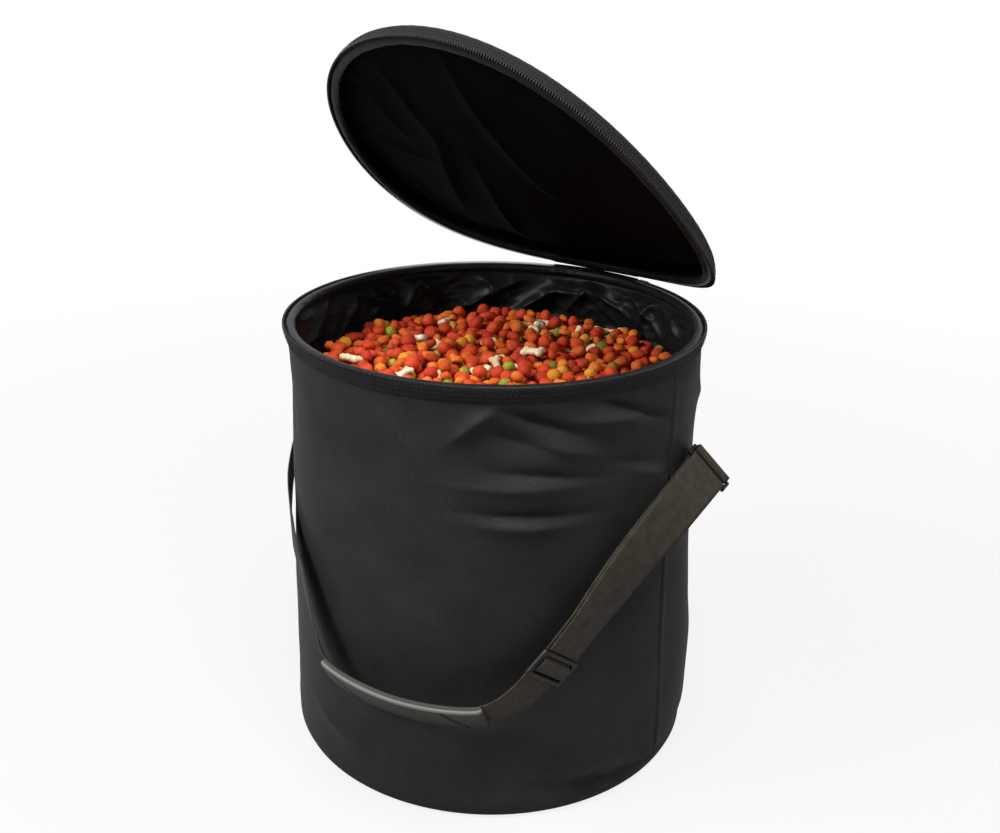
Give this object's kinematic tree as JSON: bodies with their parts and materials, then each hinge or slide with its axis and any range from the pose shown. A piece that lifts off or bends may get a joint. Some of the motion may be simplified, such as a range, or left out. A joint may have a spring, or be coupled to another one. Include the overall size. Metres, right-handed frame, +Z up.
{
  "type": "pet food storage bag",
  "caption": "Round soft-sided pet food storage bag on a flat base, its zipped soft lid standing open on a cloth hinge, with a padded carrying strap across the front and dry food inside.",
  "frame": {"origin": "middle of the base's underside, on the floor", "axes": "+Z up, +Y to the back where the lid's cloth hinge is, +X to the right when the bag is seen from the front"},
  "size_m": [0.4427, 0.4192, 0.6586],
  "materials": {
    "shell_cloth": "woven black polyester",
    "lining_satin": "smooth black nylon",
    "zip_tape": "ribbed tape",
    "zip_nylon": "moulded nylon",
    "webbing": "ribbed webbing",
    "grip_rubber": "matt",
    "hoop_steel": "spring wire",
    "dry_food": "baked pellets"
  },
  "bodies": {
    "bag": {"base_panel": "shell_cloth", "body_wall": "shell_cloth", "lining": "lining_satin", "kibble_fill": "dry_food", "rim_sleeve": "lining_satin", "rim_hoop": "hoop_steel", "body_zip_tape": "zip_tape", "body_zip_coil": "zip_nylon", "zip_slider": "zip_nylon", "strap_webbing": "webbing", "grip_pad": "grip_rubber", "three_bar_slide": "zip_nylon", "side_ring_right": "zip_nylon", "side_ring_left": "zip_nylon", "side_tab_right": "webbing", "side_tab_left": "webbing"},
    "hinge": {"hinge_strip": "shell_cloth"},
    "lid": {"lid_hem": "shell_cloth", "lid_zip_coil": "zip_nylon", "lid_zip_tape": "zip_tape", "lid_sleeve": "lining_satin", "lid_hoop": "hoop_steel", "lid_band": "shell_cloth", "lid_panel": "shell_cloth", "lid_lining": "lining_satin"},
    "zip_pull": {"zip_pull": "zip_nylon"}
  },
  "joints": [
    {"name": "hinge_fold_back", "type": "hinge", "parent": "bag", "child": "hinge", "pos_m": [0, 0.1873, 0.391], "axis": [-1, 0, 0], "range_deg": [0, 139]},
    {"name": "lid_close", "type": "hinge", "parent": "hinge", "child": "lid", "pos_m": [0, 0.1876, 0.4003], "axis": [-1, 0, 0], "range_deg": [-41, 0]},
    {"name": "pull_swing", "type": "hinge", "parent": "bag", "child": "zip_pull", "pos_m": [0.05579, 0.18528, 0.3957], "axis": [0.9575, -0.2883, 0], "range_deg": [0, 150]}
  ]
}
